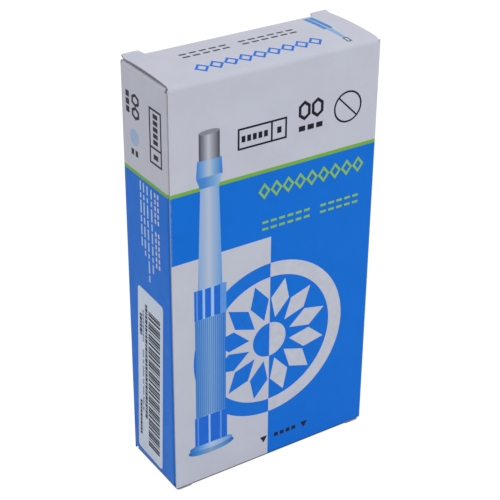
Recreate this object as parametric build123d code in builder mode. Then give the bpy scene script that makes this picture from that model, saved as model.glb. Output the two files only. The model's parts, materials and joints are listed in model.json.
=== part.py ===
"""Reverse-tuck folding carton: four walls and a glue flap folded from one sheet of board, dust flaps
at both ends, a top lid hinged on the front wall and a bottom lid hinged on the rear wall, each with
its own tuck flap and slit-lock tabs, and a paper label stuck a little askew on the left wall.

The origin is the middle of the carton's base, with +X to the right, the front facing -Y and +Z up.
"""

import os
from math import asin, cos, degrees, radians, sin, tan

from build123d import *

# Carton, over the outer faces of its board
carton_width = 74.0
carton_depth = 27.1
carton_height = 140.0
board = 0.5
wall_fold_radius = 0.8  # outer radius of the upright folds

# Glue seam behind the left edge of the front wall
seam_inset = 0.25  # from the carton's side to the front wall's cut edge
glue_flap_width = 12.0
glue_flap_end_inset = 4.0  # from the carton's end to the flap, at the flap's fold
glue_flap_taper = 15.0  # degrees
glue_squeeze = 0.04  # how far the glued layers press into each other

# Lids
lid_fold_radius = 1.8  # outer radius of the hinge fold
lid_side_inset = 1.2  # from the carton's side to the lid's cut edge
lid_gap = 0.15  # under a closed lid, above the dust flaps and the tuck wall
crease_gap = 0.06  # between wall and lid at the hinge crease
top_lid_bow = 4.5  # degrees, slope of the sprung top lid at its folds

# Tuck flaps, which slide down behind the wall opposite the hinge
tuck_length = 12.0
tuck_fold_radius = 1.0
tuck_clearance = 0.4  # from the tuck fold to the board in front of it
tuck_lean_spare = 3.0  # degrees of lean beyond what a stiff swing needs
tuck_side_inset = 3.4
tuck_corner_radius = 8.0

# Slit-lock tabs at the corners of the lids
slit_length = 6.4
tab_width = 4.8
tab_wall_overlap = 0.4  # how far a tab lies over the tuck wall's cut edge
tab_corner_radius = 0.8

# Dust flaps on the side walls
dust_length = 18.0  # from the carton's side to the flap's free end
dust_fold_radius = 1.8
dust_hinge_clearance = 1.1  # from the inner face of the hinge wall
dust_corner_clearance = 0.2  # from the corner fold at the tuck wall
dust_tuck_clearance = 3.2  # from the inner face of the tuck wall, so that the tuck flap swings past
dust_shoulder_clearance = 0.3  # from the side of the tuck flap, where the dust flap narrows
dust_taper = 12.0  # degrees, on the tuck side
dust_corner_radius = 4.0

# Label on the left wall
label_width = 15.0
label_height = 63.2
label_thickness = 0.12
label_corner_radius = 2.0
label_rear_shift = 0.9  # of the label's middle, from the middle of the wall
label_base_clearance = 3.7  # from the carton's base to the label's lower edge
label_tilt = 2.9  # degrees, the top towards the front

# Places that follow from the sizes
half_width = carton_width / 2
half_depth = carton_depth / 2
mid = board / 2  # from an outer face to the middle of the board, which every fold is drawn along
seam_edge = half_width - seam_inset
lid_half_width = half_width - lid_side_inset
tuck_half_width = half_width - tuck_side_inset
flap_level = board + lid_gap  # depth of the dust flaps and of the tuck wall's edge under the lid
wall_end = max(lid_fold_radius, flap_level + dust_fold_radius)  # the walls end here, the folds begin
root = board  # how far an added flap reaches back into the sheet that carries it
crease_turn = 45 - degrees(crease_gap / 2 / lid_fold_radius)  # turn of the hinge fold to the crease
glue_face = -half_depth + board - glue_squeeze
wall_x = half_width - mid
wall_y = half_depth - mid
wall_bend = wall_fold_radius - mid
hinge_bend = lid_fold_radius - mid
dust_bend = dust_fold_radius - mid
tuck_bend = tuck_fold_radius - mid

# Each end has its own plane in the lid's outer face: its second axis runs from the hinge wall to the
# tuck wall and its third points out of the carton.
top_end = Plane(origin=(0, 0, carton_height), x_dir=(1, 0, 0), z_dir=(0, 0, 1))
bottom_end = Plane(origin=(0, 0, 0), x_dir=(1, 0, 0), z_dir=(0, 0, -1))


def depth_section(end):
    """Plane of a section from the hinge wall to the tuck wall."""
    return Plane(origin=end.origin, x_dir=end.y_dir, z_dir=end.x_dir)


def width_section(end, depth):
    """Plane of a section from side to side, at a depth from the middle towards the tuck wall."""
    return Plane(origin=end.origin + end.y_dir * depth, x_dir=end.x_dir, z_dir=-end.y_dir)


# Carton body: walls, glue flap and dust flaps
with BuildPart() as carton_body:
    with BuildSketch(Plane.XY.offset(wall_end)):
        with BuildLine():
            front = Line((0, -wall_y), (wall_x - wall_bend, -wall_y))
            front_right = JernArc(front @ 1, front % 1, wall_bend, 90)
            right = Line(front_right @ 1, (wall_x, wall_y - wall_bend))
            back_right = JernArc(right @ 1, right % 1, wall_bend, 90)
            back = Line(back_right @ 1, (-wall_x + wall_bend, wall_y))
            back_left = JernArc(back @ 1, back % 1, wall_bend, 90)
            left = Line(back_left @ 1, (-wall_x, glue_face + wall_fold_radius))
            glue_fold = JernArc(left @ 1, left % 1, wall_bend, 90)
        trace(line_width=board)
        # The front wall's left half covers the seam and ends there in a cut edge
        with Locations((-seam_edge / 2, -wall_y)):
            Rectangle(seam_edge, board)
    extrude(amount=carton_height - 2 * wall_end)

    # The wall opposite each lid's hinge runs on, with its corner folds, to a cut edge under the lid's tabs
    with BuildSketch(Plane.XY.offset(carton_height - wall_end)):
        with BuildLine():
            add([back_right, back, back_left])
        trace(line_width=board)
    extrude(amount=wall_end - flap_level)
    with BuildSketch(Plane.XY.offset(flap_level)):
        with BuildLine():
            add([glue_fold, front, front_right])
        trace(line_width=board)
        with Locations((-seam_edge / 2, -wall_y)):
            Rectangle(seam_edge, board)
    extrude(amount=wall_end - flap_level)

    # Glue flap, its ends tapered so that it stays out of the lids' way
    glue_end = carton_height / 2 - glue_flap_end_inset
    glue_tip = glue_end - (glue_flap_width - wall_fold_radius) * tan(radians(glue_flap_taper))
    glue_plane = Plane(
        origin=(-half_width, glue_face, carton_height / 2), x_dir=(1, 0, 0), z_dir=(0, -1, 0)
    )
    with BuildSketch(glue_plane):
        with BuildLine():
            Polyline(
                (wall_fold_radius, -glue_end),
                (glue_flap_width, -glue_tip),
                (glue_flap_width, glue_tip),
                (wall_fold_radius, glue_end),
                close=True,
            )
        make_face()
    extrude(amount=-board)

    dust_low = -half_depth + board + dust_hinge_clearance
    dust_root_high = half_depth - wall_fold_radius - dust_corner_clearance
    dust_high = half_depth - board - dust_tuck_clearance
    dust_root = half_width - dust_fold_radius
    dust_shoulder = tuck_half_width + dust_shoulder_clearance
    dust_tip = half_width - dust_length
    dust_tip_high = dust_high - (dust_shoulder - dust_tip) * tan(radians(dust_taper))
    for end in (top_end, bottom_end):
        # Half of the lid's hinge fold stays with the wall
        with BuildSketch(depth_section(end)):
            with BuildLine():
                rise = Line((-wall_y, -wall_end - root), (-wall_y, -lid_fold_radius))
                JernArc(rise @ 1, rise % 1, hinge_bend, -crease_turn)
            trace(line_width=board)
        extrude(amount=lid_half_width, both=True)

        for side in (-1, 1):
            # Its fold takes the side wall's whole depth, and the flap narrows beside the tuck flap
            with BuildSketch(width_section(end, (dust_low + dust_root_high) / 2)):
                with BuildLine():
                    rise = Line(
                        (side * wall_x, -wall_end - root),
                        (side * wall_x, -flap_level - dust_fold_radius),
                    )
                    JernArc(rise @ 1, rise % 1, dust_bend, side * 90)
                trace(line_width=board)
            extrude(amount=(dust_root_high - dust_low) / 2, both=True)
            with BuildSketch(end.offset(-flap_level)) as flap_plan:
                with BuildLine():
                    Polyline(
                        (side * dust_root, dust_low),
                        (side * dust_tip, dust_low),
                        (side * dust_tip, dust_tip_high),
                        (side * dust_shoulder, dust_high),
                        (side * dust_root, dust_root_high),
                        close=True,
                    )
                make_face()
                free_corners = flap_plan.vertices().sort_by(Axis.X, reverse=side < 0)[:2]
                fillet(free_corners, dust_corner_radius)
            extrude(amount=-board)


def build_lid(end, tuck_wall, bow=0.0):
    """A lid with its tuck flap and tabs. It tucks behind board of thickness tuck_wall, and a sprung
    lid slopes by bow degrees at its folds."""
    section = depth_section(end)
    slope = sin(radians(bow))
    crease_angle = radians(180 - (90 - crease_turn))
    fold_centre = Vector(-half_depth + lid_fold_radius, -lid_fold_radius)
    crease = fold_centre + Vector(cos(crease_angle), sin(crease_angle)) * hinge_bend
    crease_heading = (sin(crease_angle), -cos(crease_angle))
    tuck_crest = half_depth - tuck_wall - tuck_clearance
    panel_start = fold_centre.X - hinge_bend * slope
    panel_end = tuck_crest - tuck_fold_radius + tuck_bend * slope
    lid_reach = tuck_crest - crease.X
    tuck_lean = degrees(asin(tuck_length / (2 * lid_reach))) + tuck_lean_spare

    with BuildPart() as lid:
        # Panel, from the crease to the tuck fold
        with BuildSketch(section):
            with BuildLine():
                fold = JernArc(crease, crease_heading, hinge_bend, bow - crease_turn)
                if bow:
                    bow_radius = (panel_end - panel_start) / (2 * slope)
                    panel = JernArc(fold @ 1, fold % 1, bow_radius, -2 * bow)
                else:
                    panel = Line(fold @ 1, (panel_end, -mid))
            trace(line_width=board)
        extrude(amount=lid_half_width, both=True)

        # Tuck fold, cut short by a slit at each end
        with BuildSketch(section):
            with BuildLine():
                tuck_fold = JernArc(panel @ 1, panel % 1, tuck_bend, bow - 90 - tuck_lean)
                Line(tuck_fold @ 1, tuck_fold @ 1 + (tuck_fold % 1) * root)
            trace(line_width=board)
        extrude(amount=lid_half_width - slit_length, both=True)

        # Tuck flap, its free corners rounded
        fold_end = section.from_local_coords(tuck_fold @ 1)
        tuck_heading = section.from_local_coords(tuck_fold @ 1 + tuck_fold % 1) - fold_end
        tuck_plane = Plane(origin=fold_end, x_dir=end.x_dir, z_dir=end.x_dir.cross(tuck_heading))
        with BuildSketch(tuck_plane) as tuck_plan:
            with Locations((0, tuck_length / 2)):
                Rectangle(2 * tuck_half_width, tuck_length)
            fillet(tuck_plan.vertices().group_by(Axis.Y)[-1], tuck_corner_radius)
        extrude(amount=mid, both=True)

        # Tabs beyond the slits, lying over the cut edge of the tuck wall
        tab_end = half_depth - board + tab_wall_overlap
        panel_level = (panel @ 1).Y
        for side in (-1, 1):
            with BuildSketch(end.offset(panel_level)) as tab_plan:
                with BuildLine():
                    Polyline(
                        (side * lid_half_width, panel_end - root),
                        (side * lid_half_width, tab_end),
                        (side * (lid_half_width - tab_width), tab_end),
                        (side * (lid_half_width - slit_length), panel_end),
                        (side * (lid_half_width - slit_length), panel_end - root),
                        close=True,
                    )
                make_face()
                fillet(tab_plan.vertices().group_by(Axis.Y)[-1], tab_corner_radius)
            extrude(amount=mid, both=True)
    return lid.part


top_lid = build_lid(top_end, tuck_wall=board, bow=top_lid_bow)
bottom_lid = build_lid(bottom_end, tuck_wall=2 * board)  # the glue flap lines the front wall there

# Paper label, drawn on the outer face of the left wall
label_middle = label_base_clearance + label_height / 2 * cos(radians(label_tilt))
label_plane = Plane(
    origin=(-half_width, label_rear_shift, label_middle), x_dir=(0, -1, 0), z_dir=(-1, 0, 0)
)
with BuildPart() as side_label:
    with BuildSketch(label_plane):
        RectangleRounded(label_width, label_height, label_corner_radius, rotation=-label_tilt)
    extrude(amount=label_thickness)

os.makedirs("parts", exist_ok=True)
pieces = {
    "carton_body": carton_body.part,
    "top_lid": top_lid,
    "bottom_lid": bottom_lid,
    "side_label": side_label.part,
}
for name, piece in pieces.items():
    piece.label = name
    export_step(piece, f"parts/{name}.step")
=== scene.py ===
"""Looks of a reverse-tuck folding carton: its folded walls and lids of printed board, the marks printed on
them, the paper label, a plain studio and the camera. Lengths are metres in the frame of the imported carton,
with the printed front facing -Y and +Z up. Print is laid out in millimetres on a flat sheet first.
"""

import itertools
import json
import math

import bmesh
import bpy
from mathutils import Matrix, Quaternion, Vector

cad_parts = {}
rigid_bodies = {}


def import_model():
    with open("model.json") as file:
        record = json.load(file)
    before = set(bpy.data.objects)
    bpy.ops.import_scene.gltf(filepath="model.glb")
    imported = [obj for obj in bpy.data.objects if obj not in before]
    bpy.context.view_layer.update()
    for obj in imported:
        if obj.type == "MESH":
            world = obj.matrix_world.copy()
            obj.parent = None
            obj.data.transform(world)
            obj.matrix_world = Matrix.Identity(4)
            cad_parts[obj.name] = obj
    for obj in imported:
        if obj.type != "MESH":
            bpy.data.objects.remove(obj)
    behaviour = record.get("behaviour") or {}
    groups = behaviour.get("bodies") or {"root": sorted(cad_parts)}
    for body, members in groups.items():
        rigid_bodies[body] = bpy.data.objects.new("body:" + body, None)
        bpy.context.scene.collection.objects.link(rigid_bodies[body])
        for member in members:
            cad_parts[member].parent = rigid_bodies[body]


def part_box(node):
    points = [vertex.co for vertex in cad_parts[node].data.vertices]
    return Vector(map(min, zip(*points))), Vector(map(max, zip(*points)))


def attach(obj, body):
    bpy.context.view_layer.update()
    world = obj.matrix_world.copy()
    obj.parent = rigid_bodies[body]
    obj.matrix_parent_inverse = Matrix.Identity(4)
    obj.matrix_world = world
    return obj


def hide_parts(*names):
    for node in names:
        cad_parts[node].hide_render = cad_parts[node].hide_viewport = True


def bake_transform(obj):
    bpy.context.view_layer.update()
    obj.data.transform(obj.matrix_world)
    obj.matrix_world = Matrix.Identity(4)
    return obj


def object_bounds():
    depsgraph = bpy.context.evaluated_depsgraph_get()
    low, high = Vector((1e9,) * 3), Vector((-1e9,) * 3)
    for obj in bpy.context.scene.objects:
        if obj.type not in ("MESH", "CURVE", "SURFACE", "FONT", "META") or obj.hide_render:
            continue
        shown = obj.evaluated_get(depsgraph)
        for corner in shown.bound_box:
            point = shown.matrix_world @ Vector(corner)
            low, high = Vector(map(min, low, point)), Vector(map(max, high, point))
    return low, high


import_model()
cad_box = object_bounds()

MM = 0.001
NEAR = 0.003 * MM  # how close to a place a vertex lies to be picked there

# Carton and board
body_low, body_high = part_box("carton_body")
half_width = body_high.x
half_depth = body_high.y
height = body_low.z + body_high.z
board = 0.5 * MM
wall_fold = 0.8 * MM
lid_fold = 1.8 * MM
dust_folds = {1: 1.2 * MM, -1: 1.8 * MM}  # at the top, where the flaps are pressed down, and the bottom
flap_level = 0.65 * MM  # depth of the dust flaps under a lid's outer face
tuck_edge_level = 0.9 * MM  # the same for the tuck walls' cut edges
wall_low = flap_level + dust_folds[-1]  # the walls end here and the folds begin
wall_high = height - flap_level - dust_folds[1]
seam_edge = half_width - 0.25 * MM  # the front wall's cut edge, over the glue flap
glue_width = 12.0 * MM
glue_gap = 0.02 * MM  # between the front wall and the glue flap behind it
glue_depth = half_depth - board - glue_gap  # of the glue flap's outer face, from the middle
glue_tip_share = 0.93  # height of the glue flap's free edge, as a share of the wall's

# Lids
lid_half_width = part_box("top_lid")[1].x
top_lid_sides = (0.35 * MM - seam_edge, half_width - 1.05 * MM)
bottom_lid_sides = (-lid_half_width, lid_half_width)
lid_side_gap = 0.06 * MM  # between a lid's hinge fold and the wall's corners
corner_drop = 0.3 * MM  # of those corners' ends, below the dust flaps
top_bow = math.radians(4.5)
fold_half_width = lid_half_width - 6.4 * MM  # of the tuck fold, between its slits
tab_end = half_depth - board + 0.4 * MM
tab_corner = 0.35 * MM
# Each tab's side, the slant of its inner end and the rise of its free edge
top_tabs = ((-1, 1.6 * MM, 0.8 * MM), (1, 0.6 * MM, 0.45 * MM))
bottom_tabs = ((-1, 1.6 * MM, 0.0), (1, 1.6 * MM, 0.0))
tuck_fold = 1.0 * MM
tuck_clearance = 0.4 * MM  # from the tuck fold to the board in front of it
tuck_length = 12.0 * MM
tuck_half_width = half_width - 3.4 * MM
tuck_corner = 8.0 * MM
tuck_lean_spare = math.radians(3.0)  # beyond what a stiff swing needs

# Dust flaps, with the edges' places from the middle towards the front or the rear
dust_tip = half_width - 18.0 * MM
dust_hinge_edge = half_depth - board - 0.85 * MM
dust_root_edge = half_depth - wall_fold - 0.2 * MM  # on the tuck side, at the fold
dust_seam_edge = glue_depth - wall_fold - 0.03 * MM  # the same beside the glue seam
dust_shoulder = tuck_half_width + 0.3 * MM
dust_shoulder_edge = half_depth - board - 3.2 * MM
dust_taper = math.tan(math.radians(12.0))
dust_tip_edge = dust_shoulder_edge - (dust_shoulder - dust_tip) * dust_taper
dust_corner = 4.0 * MM

# Label on the left wall
label_low, label_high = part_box("side_label")
label_width = 15.5 * MM
label_height = 63.8 * MM
label_thickness = label_high.x - label_low.x
label_corner = 1.3 * MM
label_edge = 0.03 * MM  # rounding of its cut edge
label_tilt = math.radians(2.9)

# Painted shadow on the floor under the carton: its reach in from the outer faces of its walls, and its soft
# edge
painted_shadow_side = 0.7 * MM
painted_shadow_front = 0.4 * MM
painted_shadow_soft = 0.3 * MM

# Printed fields, up the walls and across the front
line_top = 106.8 * MM
line_low = 105.6 * MM
panel_top = 83.3 * MM  # of the white panel at the lower left of the front
panel_right = -1.65 * MM

ink_lift = 0.03 * MM  # of printed marks over the board
picture_lift = 0.04 * MM  # of a picture, which lies over the marks
layer_lift = 0.01 * MM  # between a picture's layers

# Print, in millimetres: across to the right and up from the base, or from a lid's or the label's middle
picture_axis = -23.5  # of the pictured instrument, across the front
rosette_middle = 46.0
rosette_rings = ((28.0, 5.0), (6.2, 6.1))  # radius and stroke
petals_a_side = 6
petal_place = 14.8  # from the rosette's middle
petal_half_width = 3.5
petal_half_length = 6.9
chain_links = 9
chain_stroke = 0.75
stitch_width = 0.8
stitch_share = 0.7  # of a stitch's pitch that is inked
dash_lengths = (3.1, 1.7, 4.3, 2.2, 3.6)
dash_gap = 0.8
fine_lengths = (0.9, 1.4, 0.7, 1.1, 1.6)
fine_gap = 0.35
rib_count = 15
rib_pitch = 0.71
bar_unit = 0.42  # of the label's bars
bar_gap = 0.28
bow_step = 1.5  # between the cuts that let print follow the lid's bow

# Pictured instrument, in millimetres: the half widths that its inks shade across, and two levels
flange_half = 8.5
flange_top_half = 8.0
handle_half = 5.5
band_half = 6.0
shaft_half = 4.35
collar_half = 4.5
steel_half = 3.5
collar_bend = 109.7  # where the collar is widest
steel_end = 123.7

# Studio and camera
floor_size = 6.0
world_light = 0.66
floor_tone = 0.86
# tone of the painted shadow under the carton
painted_shadow_tone = 0.05
floor_glow = 1.1
glow_share = 0.85  # of the floor's look; the rest takes the carton's shadow
lamps = (  # name, place, size and power
    ("key_lamp", (0.35, -0.75, 0.95), 0.9, 3.5),
    ("top_lamp", (0.0, -0.2, 1.2), 1.0, 2.4),
)
camera_place = Vector((-0.21319, -0.32396, 0.29114))
camera_target = Vector((0.0001, 0.00076, 0.07123))
camera_roll = math.radians(0.527)
camera_lens = 101.42  # millimetres, on a sensor of the width below
camera_sensor = 36.0
camera_near = 0.01  # nearest distance that it shows

standing = (math.pi / 2, 0.0, 0.0)  # turn of a sheet that faces the front
smooth_angle = math.radians(30)  # between faces that still shade as one
noise_span = (0.3, 0.7)  # where most of a noise's values lie

# Places of the print sheets
upright = Matrix.Rotation(math.pi / 2, 4, "X")
in_metres = Matrix.Scale(MM, 4)
facing_left = Matrix.Rotation(-math.pi / 2, 4, "Z")
on_front = Matrix.Translation((0.0, -half_depth, 0.0)) @ upright @ in_metres
on_left = Matrix.Translation((-half_width, 0.0, 0.0)) @ facing_left @ upright @ in_metres
label_place = (label_low.x, *(label_low + label_high).yz / 2)
label_turn = Matrix.Rotation(-label_tilt, 4, "Z")
on_label = Matrix.Translation(label_place) @ facing_left @ upright @ label_turn @ in_metres
above_lid = Matrix.Translation((0.0, 0.0, height + lid_fold)) @ in_metres


def paint(red, green, blue):
    """A colour of 0 to 255 as it looks, in the linear values that a shader takes."""
    shares = [value / 255 for value in (red, green, blue)]
    return tuple(s / 12.92 if s <= 0.04045 else ((s + 0.055) / 1.055) ** 2.4 for s in shares)


# Finishes


class Finish:
    """A material and short calls for the nodes that the finishes share."""

    def __init__(self, name, roughness, specular):
        self.material = bpy.data.materials.new(name)
        self.material.use_nodes = True
        self.tree = self.material.node_tree
        self.surface = self.tree.nodes["Principled BSDF"]
        self.surface.inputs["Roughness"].default_value = roughness
        self.surface.inputs["Specular IOR Level"].default_value = specular
        self.place = self.add("ShaderNodeTexCoord").outputs["Object"]

    def add(self, kind, **settings):
        node = self.tree.nodes.new(kind)
        for setting, value in settings.items():
            setattr(node, setting, value)
        return node

    def feed(self, socket, value):
        if isinstance(value, bpy.types.NodeSocket):
            self.tree.links.new(value, socket)
        else:
            socket.default_value = value

    def noise(self, scale, detail=2.0):
        node = self.add("ShaderNodeTexNoise")
        self.feed(node.inputs["Vector"], self.place)
        self.feed(node.inputs["Scale"], scale)
        self.feed(node.inputs["Detail"], detail)
        return node.outputs["Fac"]

    def math(self, operation, first, second=0.0):
        node = self.add("ShaderNodeMath", operation=operation)
        self.feed(node.inputs[0], first)
        self.feed(node.inputs[1], second)
        return node.outputs[0]

    def spread(self, value, start, end, low=0.0, high=1.0):
        """Carries a value from the range start to end over to the range low to high."""
        node = self.add("ShaderNodeMapRange")
        for socket, number in zip(node.inputs, (value, start, end, low, high)):
            self.feed(socket, number)
        return node.outputs[0]

    def mix(self, share, first, second):
        node = self.add("ShaderNodeMix", data_type="RGBA")
        sockets = [s for s in node.inputs if s.enabled]
        for socket, value in zip(sockets, (share, first, second)):
            self.feed(socket, (*value, 1.0) if isinstance(value, tuple) else value)
        return next(s for s in node.outputs if s.enabled)

    def axis(self, name):
        node = self.add("ShaderNodeSeparateXYZ")
        self.feed(node.inputs[0], self.place)
        return node.outputs[name]

    def colour(self, value):
        self.feed(self.surface.inputs["Base Color"], value)

    def cloud(self, colour, scale, depth):
        """The colour, drifting a little lighter and darker."""
        darker = tuple(c * (1 - depth) for c in colour)
        lighter = tuple(min(1.0, c * (1 + depth)) for c in colour)
        return self.mix(self.spread(self.noise(scale, detail=3.0), *noise_span), darker, lighter)

    def vary_roughness(self, low, high, scale):
        value = self.spread(self.noise(scale), *noise_span, low, high)
        self.feed(self.surface.inputs["Roughness"], value)

    def bump(self, layers):
        """Raises the surface by layers of noise, each a scale and a height."""
        normal = None
        for scale, rise in layers:
            node = self.add("ShaderNodeBump")
            self.feed(node.inputs["Distance"], rise)
            self.feed(node.inputs["Height"], self.noise(scale, detail=3.0))
            if normal:
                self.feed(node.inputs["Normal"], normal)
            normal = node.outputs[0]
        self.feed(self.surface.inputs["Normal"], normal)


board_white = paint(194, 197, 210)
blue = paint(6, 110, 214)
green = paint(118, 173, 62)
ink_black = paint(22, 22, 36)
# pale of the upright folds: cracked ink, and a painted highlight of their rounding
pale_crack_and_highlight = paint(168, 186, 214)

# Layers of bump, each a scale and a height
board_bump = ((3200.0, 0.004 * MM), (90.0, 0.06 * MM))
raw_bump = ((2200.0, 0.02 * MM), (500.0, 0.02 * MM))
paper_bump = ((4200.0, 0.003 * MM), (140.0, 0.03 * MM))


def coated_board(name, colour, crack_and_highlight=0.0):
    """Ink on clay-coated board under a satin varnish. Its upright folds are painted a little pale: partly
    ink cracked in specks, partly a painted highlight along the whole rounded fold.
    """
    finish = Finish(name, roughness=0.4, specular=0.09)
    shade = finish.cloud(colour, scale=110.0, depth=0.025)
    if crack_and_highlight:
        across = finish.math("ABSOLUTE", finish.axis("X"))
        along = finish.math("ABSOLUTE", finish.axis("Y"))
        near_side = finish.spread(across, half_width - wall_fold, half_width)
        near_end = finish.spread(along, half_depth - wall_fold, half_depth)
        grain = finish.noise(scale=1500.0, detail=4.0)
        specks = finish.spread(grain, start=0.42, end=0.66, low=0.15, high=1.0)
        fold = finish.math("MULTIPLY", finish.math("MULTIPLY", near_side, near_end), specks)
        # Pale specks of cracked ink, over a faint painted highlight along the whole fold
        shade = finish.mix(finish.math("MULTIPLY", fold, crack_and_highlight), shade, pale_crack_and_highlight)
    finish.colour(shade)
    finish.vary_roughness(low=0.36, high=0.46, scale=260.0)
    finish.bump(board_bump)
    return finish.material


def varnish(finish):
    """The surface of printed ink."""
    finish.vary_roughness(low=0.34, high=0.48, scale=600.0)
    finish.bump(board_bump)
    return finish.material


def printed_ink(name, colour):
    finish = Finish(name, roughness=0.4, specular=0.12)
    finish.colour(finish.cloud(colour, scale=420.0, depth=0.05))
    return varnish(finish)


def rounded_ink(name, half, stops):
    """Ink that shades the picture as round: its colour runs across a half width, in millimetres, to each
    side of the picture's axis."""
    finish = Finish(name, roughness=0.4, specular=0.12)
    ramp = finish.add("ShaderNodeValToRGB")
    left, right = (picture_axis - half) * MM, (picture_axis + half) * MM
    finish.feed(ramp.inputs[0], finish.spread(finish.axis("X"), left, right))
    band = ramp.color_ramp.elements
    while len(band) < len(stops):
        band.new(0.5)
    for element, (position, colour) in zip(band, stops):
        element.position = position
        element.color = (*colour, 1.0)
    finish.colour(ramp.outputs["Color"])
    return varnish(finish)


def raw_board(name, colour, fibre):
    """Uncoated recycled board: cloudy, flecked with fibres and rough to the touch."""
    finish = Finish(name, roughness=0.85, specular=0.2)
    flecks = finish.spread(finish.noise(scale=2600.0, detail=4.0), start=0.58, end=0.7)
    finish.colour(finish.mix(flecks, finish.cloud(colour, scale=500.0, depth=0.07), fibre))
    finish.bump(raw_bump)
    return finish.material


def label_paper(name):
    finish = Finish(name, roughness=0.34, specular=0.3)
    finish.colour(finish.cloud(paint(199, 212, 229), scale=160.0, depth=0.02))
    finish.vary_roughness(low=0.28, high=0.4, scale=500.0)
    finish.bump(paper_bump)
    return finish.material


wall_white = coated_board("white_board", board_white)
wall_blue = coated_board("blue_board", blue, crack_and_highlight=0.55)
wall_green = coated_board("green_line", green, crack_and_highlight=0.4)
inside_board = raw_board("inside_board", paint(172, 166, 156), paint(120, 112, 104))
cut_edge = raw_board("cut_edge", paint(165, 158, 155), paint(124, 116, 112))
# The lids' cut edges are the walls' raw board, painted darker as shade in the gap under a lid's edge
lid_edge_painted_shade = raw_board("lid_cut_edge_painted_shade", paint(146, 143, 148), paint(116, 112, 116))
black_ink = printed_ink("black_ink", ink_black)
green_ink = printed_ink("green_ink", paint(134, 186, 84))
blue_ink = printed_ink("blue_ink", blue)
white_ink = printed_ink("bare_board", board_white)
pale_ink = printed_ink("pale_ink", paint(172, 198, 228))
dot_ink = printed_ink("dot_ink", paint(160, 182, 216))
faint_ink = printed_ink("faint_ink", paint(118, 146, 184))
deep_ink = printed_ink("deep_blue_ink", paint(28, 104, 212))
mouth_ink = printed_ink("steel_mouth_ink", paint(134, 138, 148))
small_handle_ink = printed_ink("small_handle_ink", paint(58, 132, 204))
small_shaft_ink = printed_ink("small_shaft_ink", paint(132, 168, 212))
small_tip_ink = printed_ink("small_tip_ink", paint(60, 72, 105))
steel_ink = rounded_ink("steel_ink", steel_half, (
    (0.03, paint(80, 84, 97)),
    (0.2, paint(126, 130, 144)),
    (0.46, paint(188, 192, 204)),
    (0.64, paint(154, 157, 169)),
    (0.8, paint(124, 127, 139)),
    (0.97, paint(74, 77, 89)),
))
collar_ink = rounded_ink("collar_ink", collar_half, (
    (0.06, paint(66, 136, 214)),
    (0.25, paint(122, 164, 216)),
    (0.48, paint(178, 195, 215)),
    (0.66, paint(132, 170, 209)),
    (0.95, paint(54, 128, 205)),
))
collar_base_ink = rounded_ink("collar_base_ink", collar_half, (
    (0.05, paint(60, 130, 207)),
    (0.3, paint(76, 136, 208)),
    (0.5, paint(98, 153, 210)),
    (0.7, paint(122, 166, 213)),
    (0.92, paint(154, 184, 218)),
))
shaft_ink = rounded_ink("shaft_ink", shaft_half, (
    (0.0, paint(104, 158, 220)),
    (0.08, paint(146, 175, 216)),
    (0.26, paint(160, 182, 214)),
    (0.46, paint(180, 195, 216)),
    (0.62, paint(158, 182, 215)),
    (0.84, paint(128, 168, 214)),
    (1.0, paint(84, 152, 226)),
))
band_ink = rounded_ink("band_ink", band_half, (
    (0.0, paint(88, 145, 218)),
    (0.18, paint(96, 152, 224)),
    (0.3, paint(156, 194, 240)),
    (0.65, paint(156, 194, 240)),
    (0.8, paint(92, 150, 220)),
    (1.0, paint(96, 152, 220)),
))
handle_ink = rounded_ink("handle_ink", handle_half, (
    (0.0, paint(52, 118, 194)),
    (0.5, paint(90, 136, 194)),
    (1.0, paint(40, 112, 198)),
))
rib_ink = rounded_ink("rib_ink", handle_half, (
    (0.0, paint(72, 138, 214)),
    (0.5, paint(132, 176, 228)),
    (1.0, paint(56, 130, 214)),
))
flange_ink = rounded_ink("flange_ink", flange_half, (
    (0.0, paint(36, 104, 188)),
    (0.25, paint(72, 138, 210)),
    (0.5, paint(132, 160, 196)),
    (0.75, paint(92, 146, 202)),
    (1.0, paint(30, 102, 182)),
))
flange_top_ink = rounded_ink("flange_top_ink", flange_top_half, (
    (0.0, paint(30, 104, 194)),
    (0.2, paint(84, 148, 218)),
    (0.5, paint(172, 198, 228)),
    (0.72, paint(152, 182, 218)),
    (1.0, paint(78, 144, 212)),
))
label_sheet = label_paper("label_paper")


# Modelling


def alone(obj):
    bpy.ops.object.select_all(action="DESELECT")
    obj.select_set(True)
    bpy.context.view_layer.objects.active = obj


def open_mesh(obj):
    alone(obj)
    bpy.ops.object.mode_set(mode="EDIT")


def close_mesh():
    bpy.ops.object.mode_set(mode="OBJECT")


def pick(kind, test):
    """Selects the open mesh's "verts", "edges" or "faces" that pass a test, and nothing else."""
    data = bpy.context.object.data
    bpy.ops.mesh.select_mode(type={"verts": "VERT", "edges": "EDGE", "faces": "FACE"}[kind])
    bpy.ops.mesh.select_all(action="DESELECT")
    mesh = bmesh.from_edit_mesh(data)
    for part in getattr(mesh, kind):
        if test(part):
            part.select_set(True)
    mesh.select_flush_mode()
    bmesh.update_edit_mesh(data)


def points(part):
    return [part.co] if isinstance(part, bmesh.types.BMVert) else [v.co for v in part.verts]


def lies_at(part, **place):
    return all(abs(getattr(p, axis) - value) < NEAR for p in points(part) for axis, value in place.items())


def at(**place):
    """A test for what lies at a given x, y or z."""
    return lambda part: lies_at(part, **place)


def extrude(x=0.0, y=0.0, z=0.0):
    bpy.ops.mesh.extrude_region_move(TRANSFORM_OT_translate={"value": (x, y, z)})


def round_edges(radius, segments):
    bpy.ops.mesh.bevel(offset=radius, segments=segments, affect="EDGES", clamp_overlap=False)


def round_corners(radius, segments):
    bpy.ops.mesh.bevel(offset=radius, segments=segments, affect="VERTICES", clamp_overlap=False)


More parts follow.
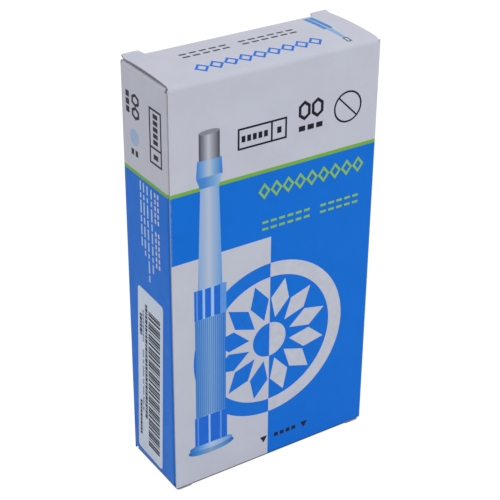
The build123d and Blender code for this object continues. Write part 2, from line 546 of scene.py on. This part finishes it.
def cut(x=None, y=None, z=None, **options):
    """Cuts the selected faces at one place along X, Y or Z."""
    place = Vector((x or 0.0, y or 0.0, z or 0.0))
    normal = Vector((x is not None, y is not None, z is not None))
    bpy.ops.mesh.bisect(plane_co=place, plane_no=normal, threshold=NEAR / 10, **options)


def add_sheet(name, width, length, middle, turn=(0.0, 0.0, 0.0)):
    """A flat sheet, turned and set in place, with its place in its mesh."""
    bpy.ops.object.select_all(action="DESELECT")
    bpy.ops.mesh.primitive_plane_add(size=1, location=middle, rotation=turn)
    sheet = bpy.context.object
    sheet.name = name
    sheet.scale = (width, length, 1.0)
    bpy.ops.object.transform_apply(location=True, rotation=True, scale=True)
    return sheet


def apply_modifier(obj, kind, **settings):
    alone(obj)
    modifier = obj.modifiers.new(kind, kind)
    for setting, value in settings.items():
        setattr(modifier, setting, value)
    bpy.ops.object.modifier_apply(modifier=modifier.name)


def thicken_board(sheet, field_of):
    """Gives a folded sheet its thickness inwards. field_of gives a printed face's slot; the last two slots
    are the inside and the cut edge. The faces come in that order."""
    printed = len(sheet.data.polygons)
    inside = len(sheet.data.materials) - 2
    for face in sheet.data.polygons:
        face.material_index = field_of(face)
    apply_modifier(sheet, "SOLIDIFY", thickness=board, offset=-1.0, use_even_offset=True)
    for face in sheet.data.polygons[printed:]:
        face.material_index = inside if face.index < 2 * printed else inside + 1
    alone(sheet)
    bpy.ops.object.shade_smooth_by_angle(angle=smooth_angle)


def add_materials(obj, *materials):
    for material in materials:
        obj.data.materials.append(material)


# Walls, glue flap and dust flaps


def add_dust_flap(side, end):
    """One dust flap on a side wall, at the top (end 1) or at the bottom (end -1). The hinge wall is the
    front wall at the top and the rear wall at the bottom."""
    tuck = end  # side of the tuck wall along Y
    root_edge = dust_seam_edge if side < 0 and end < 0 else dust_root_edge
    wall_end = wall_high if end > 0 else wall_low
    dust_fold = dust_folds[end]
    level = wall_end + end * dust_fold

    for edge in (tuck * root_edge, -tuck * dust_hinge_edge):
        pick("faces", lambda f: lies_at(f, x=side * half_width)
             and end * f.calc_center_median().z > end * (line_top if end > 0 else line_low))
        cut(y=edge)
    low, high = sorted((tuck * root_edge, -tuck * dust_hinge_edge))
    pick("edges", lambda e: lies_at(e, x=side * half_width, z=wall_end)
         and all(low - NEAR < p.y < high + NEAR for p in points(e)))
    fold_axis = (side * (half_width - dust_fold), 0.0, wall_end)
    bpy.ops.mesh.spin(steps=8, angle=side * end * math.pi / 2, center=fold_axis, axis=(0.0, 1.0, 0.0))
    extrude(x=side * (dust_shoulder + dust_fold - half_width))
    extrude(x=side * (dust_tip - dust_shoulder))

    for place, edge in ((dust_shoulder, dust_shoulder_edge), (dust_tip, dust_tip_edge)):
        pick("verts", at(x=side * place, y=tuck * root_edge, z=level))
        bpy.ops.transform.translate(value=(0.0, tuck * (edge - root_edge), 0.0))
    pick("verts", at(x=side * dust_tip, z=level))
    round_corners(dust_corner, segments=6)


def wall_field(face):
    """Slot of a printed face of the walls: 0 white, 1 blue, 2 green."""
    middle = face.center
    if middle.z > line_top:
        return 0
    if middle.z > line_low:
        return 2
    faces_front = middle.y < NEAR - half_depth
    behind_seam = abs(middle.y + glue_depth) < NEAR
    if behind_seam or faces_front and middle.x < panel_right and middle.z < panel_top:
        return 0
    inside_walls = abs(middle.x) < half_width - dust_folds[-1] and abs(middle.y) < half_depth - NEAR
    on_flap = middle.z < wall_low and inside_walls
    return 0 if on_flap else 1


def model_walls():
    wall_middle = (wall_low + wall_high) / 2
    front_middle = ((half_width - seam_edge) / 2, -half_depth, wall_middle)
    walls = add_sheet("carton_walls", half_width + seam_edge, wall_high - wall_low, front_middle, standing)

    open_mesh(walls)
    # Round the carton to the glue flap
    pick("edges", at(x=half_width))
    extrude(y=2 * half_depth)
    extrude(x=-2 * half_width)
    extrude(y=-glue_depth - half_depth)
    extrude(x=glue_width)
    pick("verts", at(x=glue_width - half_width, y=-glue_depth))
    bpy.ops.transform.resize(value=(1.0, 1.0, glue_tip_share), center_override=(0.0, 0.0, wall_middle))
    right_folds = ((half_width, -half_depth), (half_width, half_depth))
    folds = (*right_folds, (-half_width, half_depth), (-half_width, -glue_depth))
    pick("edges", lambda e: any(lies_at(e, x=x, y=y) for x, y in folds))
    round_edges(wall_fold, segments=6)

    # Edges of the printed fields
    for level in (line_top, line_low):
        bpy.ops.mesh.select_all(action="SELECT")
        cut(z=level)
    pick("faces", lambda f: lies_at(f, y=-half_depth) and f.calc_center_median().z < line_low)
    cut(x=panel_right)
    pick("faces", lambda f: lies_at(f, y=-half_depth) and f.calc_center_median().z < line_low
         and f.calc_center_median().x < panel_right)
    cut(z=panel_top)

    # The hinge walls run on to the lids' folds. The tuck walls and all the corners run on to cut edges.
    def on_wall_end(part, end, level):
        return lies_at(part, z=level) and all(
            -end * p.y > glue_depth - wall_fold - NEAR for p in points(part))

    for end, (lid_left, lid_right) in ((1, top_lid_sides), (-1, bottom_lid_sides)):
        left, right = lid_left - lid_side_gap, lid_right + lid_side_gap
        hinge_end, tuck_end = (wall_high, wall_low)[::end]
        pick("edges", lambda e: on_wall_end(e, end, hinge_end))
        hinge_rise = flap_level + dust_folds[end] - lid_fold
        extrude(z=end * hinge_rise)
        hinge_end += end * hinge_rise
        for corner in (left, right):
            pick("faces", lambda f: lies_at(f, y=-end * half_depth))
            cut(x=corner)
        pick("edges", lambda e: on_wall_end(e, end, hinge_end)
             and not left < sum(p.x for p in points(e)) / 2 < right)
        extrude(z=end * (lid_fold - flap_level - corner_drop))
        pick("edges", lambda e: on_wall_end(e, end, tuck_end))
        extrude(z=-end * (flap_level + dust_folds[-end] - tuck_edge_level))

    for side in (-1, 1):
        for end in (1, -1):
            add_dust_flap(side, end)
    bpy.ops.mesh.select_all(action="SELECT")
    bpy.ops.mesh.remove_doubles(threshold=NEAR)
    close_mesh()

    add_materials(walls, wall_white, wall_blue, wall_green, inside_board, cut_edge)
    thicken_board(walls, wall_field)
    # The corners' ends are pressed shut, so that no raw board shows there
    raw = len(walls.data.materials) - 1
    for face in walls.data.polygons:
        at_end = not wall_low < face.center.z < wall_high
        if face.material_index == raw and at_end and abs(face.center.x) > lid_half_width:
            face.material_index = wall_field(face)
    return walls


# Lids


def selected_place():
    mesh = bmesh.from_edit_mesh(bpy.context.object.data)
    return next(v.co.copy() for v in mesh.verts if v.select)


def bend(heading, radius, turn, steps):
    """Carries the selected edge on along an arc that turns down, and gives its new heading, an angle up
    from +Y."""
    start = selected_place()
    centre = (0.0, start.y + radius * math.sin(heading), start.z - radius * math.cos(heading))
    bpy.ops.mesh.spin(steps=steps, angle=turn, center=centre, axis=(1.0, 0.0, 0.0))
    return heading - turn


def run(heading, length):
    """Carries the selected edge straight on."""
    extrude(y=length * math.cos(heading), z=length * math.sin(heading))


def model_lid(name, crest, bow, sides, tabs):
    """A lid as it closes the top: the whole hinge fold, the panel, the tabs, the tuck fold and its flap."""
    left, right = sides
    strip = lid_fold  # height of the sheet of which only the upper edge stays
    fold_start = height - lid_fold
    crease_y = lid_fold - half_depth - math.sqrt(0.5) * (lid_fold - board / 2)
    lean = math.asin(tuck_length / 2 / (crest - crease_y)) + tuck_lean_spare
    middle = ((left + right) / 2, -half_depth, fold_start - strip / 2)
    lid = add_sheet(name, right - left, strip, middle, standing)
    open_mesh(lid)
    pick("verts", at(z=fold_start - strip))
    bpy.ops.mesh.delete(type="VERT")
    bpy.ops.mesh.select_mode(type="EDGE")
    bpy.ops.mesh.select_all(action="SELECT")

    heading = bend(math.pi / 2, lid_fold, math.pi / 2 - bow, steps=10)
    panel_start = selected_place().y
    panel_end = crest - tuck_fold + tuck_fold * math.sin(bow)
    if bow:
        bow_radius = (panel_end - panel_start) / (2 * math.sin(bow))
        heading = bend(heading, bow_radius, 2 * bow, steps=18)
    else:
        run(heading, panel_end - panel_start)
    rim = selected_place()
    for slit in (-fold_half_width, fold_half_width):
        bpy.ops.mesh.select_all(action="SELECT")
        cut(x=slit)

    def end_edge(part, outer):
        middle = sum(p.x for p in points(part)) / 2
        return lies_at(part, y=rim.y, z=rim.z) and (abs(middle) > fold_half_width) == outer

    # Tabs
    for side, slant, rise in tabs:
        pick("edges", lambda e: end_edge(e, True) and side * e.verts[0].co.x > 0)
        extrude(y=tab_end - rim.y, z=rise)
        pick("verts", at(x=side * fold_half_width, y=tab_end))
        bpy.ops.transform.translate(value=(side * slant, 0.0, 0.0))
        pick("verts", lambda v: lies_at(v, y=tab_end) and side * v.co.x > 0)
        round_corners(tab_corner, segments=4)

    # Tuck fold and tuck flap
    pick("edges", lambda e: end_edge(e, False))
    heading = bend(heading, tuck_fold, math.pi / 2 + lean - bow, steps=8)
    root = selected_place()
    run(heading, tuck_length)
    tip = selected_place()
    middle_z = (root.z + tip.z) / 2
    for side in (-1, 1):
        pick("edges", lambda e: lies_at(e, x=side * fold_half_width)
             and abs(sum(p.z for p in points(e)) / 2 - middle_z) < NEAR)
        extrude(x=side * (tuck_half_width - fold_half_width))
    pick("edges", lambda e: abs(abs(e.verts[0].co.x) - fold_half_width) < NEAR
         and abs(sum(p.z for p in points(e)) / 2 - middle_z) < NEAR
         and abs(e.verts[0].co.x - e.verts[1].co.x) < NEAR)
    bpy.ops.mesh.dissolve_edges(use_verts=False)
    pick("verts", lambda v: lies_at(v, y=tip.y, z=tip.z) and abs(abs(v.co.x) - tuck_half_width) < NEAR)
    round_corners(tuck_corner, segments=8)
    bpy.ops.mesh.select_all(action="SELECT")
    bpy.ops.mesh.remove_doubles(threshold=NEAR)
    bpy.ops.mesh.flip_normals()  # a spin that turns down leaves them inwards
    close_mesh()
    return lid


def model_lids():
    top_lid = model_lid("top_lid_board", half_depth - board - tuck_clearance, top_bow,
                        top_lid_sides, top_tabs)
    add_materials(top_lid, wall_white, inside_board, lid_edge_painted_shade)
    thicken_board(top_lid, lambda face: 0)

    # The bottom lid is the same, but flat. Its hinge is on the rear wall, and the glue flap lies in front of
    # its tuck flap.
    bottom_lid = model_lid("bottom_lid_board", half_depth - 2 * board - tuck_clearance, 0.0,
                           bottom_lid_sides, bottom_tabs)
    alone(bottom_lid)
    bottom_lid.rotation_euler.x = math.pi
    bottom_lid.location.z = height
    bpy.ops.object.transform_apply(location=True, rotation=True, scale=True)
    add_materials(bottom_lid, wall_blue, wall_white, inside_board, lid_edge_painted_shade)
    thicken_board(bottom_lid, lambda face: 0 if face.center.z < wall_low else 1)
    return top_lid, bottom_lid


# Label


def model_label():
    """The paper label, drawn upright in millimetres, then set askew on the left wall."""
    label = start_print("side_label_paper", label_sheet)
    block(0.0, 0.0, label_width / MM, label_height / MM)
    bpy.ops.mesh.select_mode(type="VERT")
    round_corners(label_corner / MM, segments=6)
    close_mesh()
    set_in_frame(label, on_label)
    apply_modifier(label, "SOLIDIFY", thickness=label_thickness, offset=-1.0)
    apply_modifier(label, "BEVEL", width=label_edge, segments=2, limit_method="ANGLE")
    bpy.ops.object.shade_smooth_by_angle(angle=smooth_angle)
    return label


# Printed marks, laid out flat in millimetres: across to the right and up


def start_print(name, *inks):
    """An empty sheet with its inks, open for shapes to be drawn on it."""
    bpy.ops.object.select_all(action="DESELECT")
    bpy.ops.object.add(type="MESH", enter_editmode=True)
    sheet = bpy.context.object
    sheet.name = name
    add_materials(sheet, *inks)
    return sheet


def set_in_frame(sheet, place):
    sheet.matrix_world = place
    alone(sheet)
    bpy.ops.object.transform_apply(location=True, rotation=True, scale=True)


def finish_print(sheet, place, lift, carrier=None):
    """Sets a drawn sheet on its panel, or down on a bowed carrier, and gives its shapes the ink's thickness,
    half of it sunk in the board."""
    if carrier:
        low = min(v.co.y for v in bmesh.from_edit_mesh(sheet.data).verts)
        high = max(v.co.y for v in bmesh.from_edit_mesh(sheet.data).verts)
        for step in range(1, round((high - low) / bow_step)):
            bpy.ops.mesh.select_all(action="SELECT")
            cut(y=low + step * bow_step)
    close_mesh()
    set_in_frame(sheet, place)
    if carrier:
        apply_modifier(
            sheet, "SHRINKWRAP", target=carrier, wrap_method="PROJECT",
            use_project_z=True, use_positive_direction=False, use_negative_direction=True)
    apply_modifier(sheet, "SOLIDIFY", thickness=2 * lift, offset=0.0)
    return sheet


def use_ink(number):
    bpy.context.object.active_material_index = number
    bpy.ops.object.material_slot_assign()


def block(across, up, width, length, ink=0, turn=0.0):
    place = (across, up, 0.0)
    bpy.ops.mesh.primitive_plane_add(size=1, location=place)
    bpy.ops.transform.resize(value=(width, length, 1.0), center_override=place)
    if turn:
        bpy.ops.transform.rotate(value=-turn, orient_axis="Z", center_override=place)
    use_ink(ink)


def disc(across, up, half_across, half_up, ink=0, sides=36, turn=0.0):
    """A round shape, or with few sides a hexagon, a diamond or a triangle."""
    place = (across, up, 0.0)
    bpy.ops.mesh.primitive_circle_add(vertices=sides, radius=1, fill_type="NGON", location=place)
    bpy.ops.transform.resize(value=(half_across, half_up, 1.0), center_override=place)
    if turn:
        bpy.ops.transform.rotate(value=-turn, orient_axis="Z", center_override=place)
    use_ink(ink)


def block_row(first, step, count, size, ink=0):
    """Equal blocks, from the middle of the first and the step to the next."""
    for number in range(count):
        block(first[0] + step[0] * number, first[1] + step[1] * number, *size, ink)


def hollow(stroke):
    """Leaves only an outline of the shape just drawn."""
    bpy.ops.mesh.select_mode(type="FACE")
    bpy.ops.mesh.inset(thickness=stroke)
    bpy.ops.mesh.delete(type="FACE")


def ring(across, up, radius, stroke, ink=0):
    """A ring, left selected."""
    place = (across, up, 0.0)
    inner = 1 - stroke / radius
    bpy.ops.mesh.select_mode(type="VERT")
    bpy.ops.mesh.primitive_circle_add(vertices=72, radius=radius, location=place)
    extrude()
    bpy.ops.transform.resize(value=(inner, inner, 1.0), center_override=place)
    bpy.ops.mesh.select_linked()
    use_ink(ink)


def column(middle, rows, ink=0):
    """An upright shape between two rows, the lower one first, each a level and a half width."""
    (low, low_half), (high, high_half) = rows
    block(middle, (low + high) / 2, 2 * low_half, high - low)
    bpy.ops.mesh.select_mode(type="VERT")
    mesh = bmesh.from_edit_mesh(bpy.context.object.data)
    for vert in mesh.verts:
        vert.select_set(vert.select and vert.co.y > (low + high) / 2)
    mesh.select_flush_mode()
    bmesh.update_edit_mesh(bpy.context.object.data)
    bpy.ops.transform.resize(value=(high_half / low_half, 1.0, 1.0), center_override=(middle, high, 0.0))
    bpy.ops.mesh.select_linked()
    use_ink(ink)


def diamond_chain(left, right, up, half_up, ink=0):
    """An ornament of hollow diamonds that touch at their points."""
    pitch = (right - left) / chain_links
    for number in range(chain_links):
        disc(left + (number + 0.5) * pitch, up, pitch / 2, half_up, ink, sides=4)
        hollow(chain_stroke)


def stitches(start, end, level, rise, groups, ink=0, runs_up=False):
    """An ornament of two lines of dashes, in groups, along one level."""
    pitch = (end - start) / (sum(groups) + len(groups) - 1)
    cell = 0
    for group in groups:
        for number in range(group):
            along = start + (cell + number + 0.5) * pitch
            for side in (-1, 1):
                across = level + side * rise
                if runs_up:
                    block(across, along, stitch_width, stitch_share * pitch, ink)
                else:
                    block(along, across, stitch_share * pitch, stitch_width, ink)
        cell += group + 1


def dashes(level, start, end, width, ink=0, lengths=dash_lengths, gap=dash_gap):
    """A line of dashes of a few lengths in turn, running down one level."""
    place = start
    for length in itertools.cycle(lengths):
        length = min(length, place - end)
        block(level, place - length / 2, width, length, ink)
        place -= length + gap
        if place - end < gap:
            break


def two_cell_frame(low, high, stroke, divider, side_by_side=True):
    """A thin frame of two cells between two corners, with the divider's place along its length."""
    (left, base), (right, top) = low, high
    block((left + right) / 2, (base + top) / 2, right - left, top - base)
    hollow(stroke)
    if side_by_side:
        block(divider, (base + top) / 2, stroke, top - base - 2 * stroke)
    else:
        block((left + right) / 2, divider, right - left - 2 * stroke, stroke)


def hexagons(places, half_across, half_up, stroke):
    """Hollow hexagons at their middles."""
    for across, up in places:
        disc(across, up, half_across, half_up, sides=6)
        hollow(stroke)


def print_front_marks():
    black, light_green = 0, 1
    sheet = start_print("front_marks", black_ink, green_ink)
    diamond_chain(left=-6.5, right=32.5, up=99.55, half_up=2.75, ink=light_green)
    stitches(start=-5.4, end=31.4, level=87.75, rise=1.15, groups=(6, 5), ink=light_green)

    two_cell_frame(low=(-13.9, 115.2), high=(3.3, 122.1), stroke=0.62, divider=-2.04)
    block_row(first=(-11.9, 118.5), step=(1.95, 0.0), count=5, size=(1.3, 2.0), ink=black)
    block(across=0.6, up=118.5, width=1.5, length=2.0, ink=black)

    hexagons(((9.55, 122.5), (14.25, 122.5)), half_across=2.45, half_up=3.2, stroke=0.95)
    block_row(first=(8.75, 116.8), step=(3.15, 0.0), count=3, size=(2.3, 1.7), ink=black)

    ring(across=25.45, up=120.1, radius=5.15, stroke=0.58, ink=black)
    block(across=25.45, up=120.1, width=9.4, length=0.5, ink=black, turn=-math.pi / 4)

    for across in (-3.26, 12.86):
        disc(across, up=7.5, half_across=1.6, half_up=1.6, ink=black, sides=3, turn=math.pi)
    block_row(first=(1.65, 7.35), step=(2.35, 0.0), count=4, size=(1.5, 1.5), ink=black)
    return finish_print(sheet, on_front, ink_lift)


def print_rosette():
    """A rosette that changes colour on the white panel's right edge: blue on white, white on blue."""
    sheet = start_print("front_rosette", blue_ink, white_ink)
    split = panel_right / MM
    petal_turn = math.pi / petals_a_side
    for side, ink in ((-1, 0), (1, 1)):
        for radius, stroke in rosette_rings:
            ring(split, rosette_middle, radius, stroke, ink)
            cut(x=split, clear_outer=side < 0, clear_inner=side > 0)
        for number in range(petals_a_side):
            angle = side * petal_turn * (number + 0.5)
            across = split + petal_place * math.sin(angle)
            up = rosette_middle + petal_place * math.cos(angle)
            disc(across, up, petal_half_width, petal_half_length, ink, sides=4, turn=-angle)
    return finish_print(sheet, on_front, ink_lift)


def print_instrument():
    """The picture of a hand instrument, in layers that lie over each other."""
    axis = picture_axis
    steel, mouth, collar, collar_base, shaft, band, deep, handle, rib, flange, flange_top = range(11)
    inks = (steel_ink, mouth_ink, collar_ink, collar_base_ink, shaft_ink, band_ink, deep_ink,
            handle_ink, rib_ink, flange_ink, flange_top_ink)

    base = start_print("picture_base", *inks)
    disc(axis, up=12.5, half_across=flange_half, half_up=2.0, ink=flange, sides=48)
    column(axis, ((25.4, handle_half), (62.0, handle_half)), handle)
    column(axis, ((72.3, 4.3), (106.4, 3.2)), shaft)
    finish_print(base, on_front, picture_lift)

    bands = start_print("picture_bands", *inks)
    disc(axis, up=13.8, half_across=flange_top_half, half_up=1.45, ink=flange_top, sides=48)
    column(axis, ((61.8, 5.7), (72.5, 5.7)), band)
    column(axis, ((106.2, 3.2), (collar_bend, collar_half)), collar_base)
    column(axis, ((collar_bend, collar_half), (115.1, 4.1)), collar)
    column(axis, ((115.0, steel_half), (steel_end, steel_half)), steel)
    finish_print(bands, on_front, picture_lift + layer_lift)

    lines = start_print("picture_lines", *inks)
    column(axis, ((14.4, 5.95), (25.6, 5.95)), band)
    for left, right in ((-5.6, -5.0), (-4.5, -2.8), (-1.9, 0.2), (1.3, 3.5)):
        block(axis + (left + right) / 2, up=67.1, width=right - left, length=10.4, ink=deep)
    first_rib = axis - rib_pitch * (rib_count - 1) / 2
    block_row((first_rib, 43.7), step=(rib_pitch, 0.0), count=rib_count, size=(0.3, 36.2), ink=rib)
    disc(axis, up=steel_end, half_across=steel_half, half_up=0.75, ink=mouth)
    finish_print(lines, on_front, picture_lift + 2 * layer_lift)

    bars = start_print("picture_bars", *inks)
    for left, right in ((-5.95, -5.1), (-4.6, -1.0), (-0.3, 3.3), (3.9, 5.95)):
        block(axis + (left + right) / 2, up=20.0, width=right - left, length=11.0, ink=deep)
    finish_print(bars, on_front, picture_lift + 3 * layer_lift)
    return base, bands, lines, bars


def print_left_marks():
    black, white, pale, dot = range(4)
    sheet = start_print("left_marks", black_ink, white_ink, pale_ink, dot_ink)
    two_cell_frame(low=(3.0, 113.4), high=(9.9, 130.9), stroke=0.65, divider=118.7, side_by_side=False)
    block_row(first=(6.5, 128.7), step=(0.0, -2.0), count=5, size=(2.6, 1.4), ink=black)
    block(across=6.5, up=116.0, width=2.6, length=1.6, ink=black)
    hexagons(((-4.9, 129.55), (-4.9, 125.45)), half_across=2.5, half_up=2.1, stroke=0.9)
    block_row(first=(-9.5, 130.3), step=(0.0, -2.45), count=3, size=(2.0, 1.9), ink=black)
    disc(across=-6.0, up=117.5, half_across=2.6, half_up=2.6, ink=dot)
    block_row(first=(-7.3, 112.6), step=(2.4, 0.0), count=2, size=(1.5, 1.9), ink=black)

    stitches(start=78.7, end=104.5, level=6.0, rise=0.85, groups=(6, 5), ink=white, runs_up=True)
    dash_lines = (  # level, start and end
        (3.0, 104.3, 76.0),
        (0.6, 104.5, 71.6),
        (-1.5, 104.6, 80.0),
        (-3.4, 104.7, 82.0),
    )
    for level, start, end in dash_lines:
        dashes(level, start, end, width=0.75, ink=pale)
    return finish_print(sheet, on_left, ink_lift)


def print_label_marks():
    black, faint = 0, 1
    sheet = start_print("label_marks", black_ink, faint_ink)
    top, base = 25.5, -27.8
    left, right = -1.1, 6.0
    place = top
    number = 0
    while place > base:
        thickness = bar_unit * (1 + number * number % 3)
        block((left + right) / 2, place - thickness / 2, right - left, thickness, black)
        place -= thickness + bar_gap * (1 + number * 5 % 4 % 3)
        number += 1
    dashes(level=-4.4, start=9.0, end=-17.0, width=0.7, ink=faint)
    fine_lines = (  # level, start, end, width and ink
        (-2.5, 27.0, -18.0, 1.3, black),
        (-4.4, 24.0, 12.0, 1.0, faint),
        (-5.9, 22.0, 14.0, 1.3, black),
        (-5.9, -12.0, -26.0, 1.1, black),
    )
    for line in fine_lines:
        dashes(*line, lengths=fine_lengths, gap=fine_gap)
    return finish_print(sheet, on_label, ink_lift)


def print_lid_marks(top_lid):
    blue_line, black, handle, shaft, tip = range(5)
    sheet = start_print("lid_marks", blue_ink, black_ink, small_handle_ink, small_shaft_ink, small_tip_ink)
    diamond_chain(left=-24.0, right=20.0, up=-6.7, half_up=2.8, ink=blue_line)
    stitches(start=-23.0, end=17.5, level=3.4, rise=1.15, groups=(5, 6), ink=black)
    axis = 26.8
    for across in (-0.95, 0.95):
        column(axis + across, ((-0.5, 0.7), (10.6, 0.8)), handle)
    column(axis, ((-8.6, 0.6), (-0.6, 0.9)), shaft)
    block(axis, up=-10.1, width=1.7, length=2.8, ink=tip)
    hollow(stroke=0.4)
    return finish_print(sheet, above_lid, ink_lift, top_lid)


# Stage


def seen_directly(tree):
    """A value of 1 for what the camera sees, also in a mirror or through glass."""
    paths = tree.nodes.new("ShaderNodeLightPath")
    value = paths.outputs["Is Camera Ray"]
    for kind in ("Is Glossy Ray", "Is Transmission Ray"):
        either = tree.nodes.new("ShaderNodeMath")
        either.operation = "MAXIMUM"
        tree.links.new(value, either.inputs[0])
        tree.links.new(paths.outputs[kind], either.inputs[1])
        value = either.outputs[0]
    return value


def white_floor(name):
    """A floor that looks white, with the carton's soft shadow and a dark painted shadow under the carton's
    edges.
    """
    finish = Finish(name, roughness=0.9, specular=0.1)
    # Painted shadow: under the carton's footprint, found by place, the floor is dark and gives no glow
    across = finish.math("ABSOLUTE", finish.axis("X"))
    along = finish.math("ABSOLUTE", finish.axis("Y"))
    past_side = finish.math("SUBTRACT", across, half_width - painted_shadow_side)
    past_front = finish.math("SUBTRACT", along, half_depth - painted_shadow_front)
    outside_painted_shadow = finish.spread(finish.math("MAXIMUM", past_side, past_front), -painted_shadow_soft, 0.0)
    finish.colour(finish.mix(outside_painted_shadow, (painted_shadow_tone,) * 3, (floor_tone,) * 3))
    glow = finish.add("ShaderNodeEmission")
    finish.feed(glow.inputs["Strength"], floor_glow)
    blend = finish.add("ShaderNodeMixShader")
    lit = finish.math("MULTIPLY", outside_painted_shadow, seen_directly(finish.tree))
    finish.feed(blend.inputs[0], finish.math("MULTIPLY", lit, glow_share))
    finish.feed(blend.inputs[1], finish.surface.outputs[0])
    finish.feed(blend.inputs[2], glow.outputs[0])
    finish.feed(finish.tree.nodes["Material Output"].inputs["Surface"], blend.outputs[0])
    return finish.material


def add_studio():
    floor = add_sheet("floor", floor_size, floor_size, (0.0, 0.0, cad_box[0].z))
    add_materials(floor, white_floor("floor_white"))

    world = bpy.data.worlds.new("studio")
    bpy.context.scene.world = world
    world.use_nodes = True
    tree = world.node_tree
    strength = tree.nodes.new("ShaderNodeMapRange")
    strength.inputs["To Min"].default_value = world_light
    strength.inputs["To Max"].default_value = 1.0
    tree.links.new(seen_directly(tree), strength.inputs[0])
    tree.links.new(strength.outputs[0], tree.nodes["Background"].inputs["Strength"])
    tree.nodes["Background"].inputs["Color"].default_value = (1.0, 1.0, 1.0, 1.0)

    for name, place, size, power in lamps:
        lamp = bpy.data.lights.new(name, "AREA")
        lamp.size = size
        lamp.energy = power
        holder = bpy.data.objects.new(name, lamp)
        holder.location = place
        aim = Vector((0.0, 0.0, height / 2)) - holder.location
        holder.rotation_euler = aim.to_track_quat("-Z", "Y").to_euler()
        bpy.context.scene.collection.objects.link(holder)


def aim_camera():
    data = bpy.data.cameras.new("camera")
    data.sensor_width = camera_sensor
    data.lens = camera_lens
    data.clip_start = camera_near
    camera = bpy.data.objects.new("camera", data)
    camera.location = camera_place
    ahead = (camera_target - camera_place).to_track_quat("-Z", "Y")
    camera.rotation_euler = (ahead @ Quaternion((0.0, 0.0, 1.0), camera_roll)).to_euler()
    bpy.context.scene.collection.objects.link(camera)
    bpy.context.scene.camera = camera


# The carton, put together in its frame


walls = model_walls()
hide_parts("carton_body")
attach(walls, "carton")

top_lid, bottom_lid = model_lids()
lid_marks = print_lid_marks(top_lid)
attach(lid_marks, "top_lid")
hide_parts("top_lid")
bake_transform(top_lid)
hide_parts("bottom_lid")
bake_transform(bottom_lid)

label = model_label()
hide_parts("side_label")
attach(label, "carton")

for sheet in (print_front_marks(), print_rosette(), *print_instrument(), print_left_marks()):
    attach(sheet, "carton")
label_marks = print_label_marks()
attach(label_marks, "carton")

add_studio()
aim_camera()
bpy.context.scene.view_settings.view_transform = "Standard"
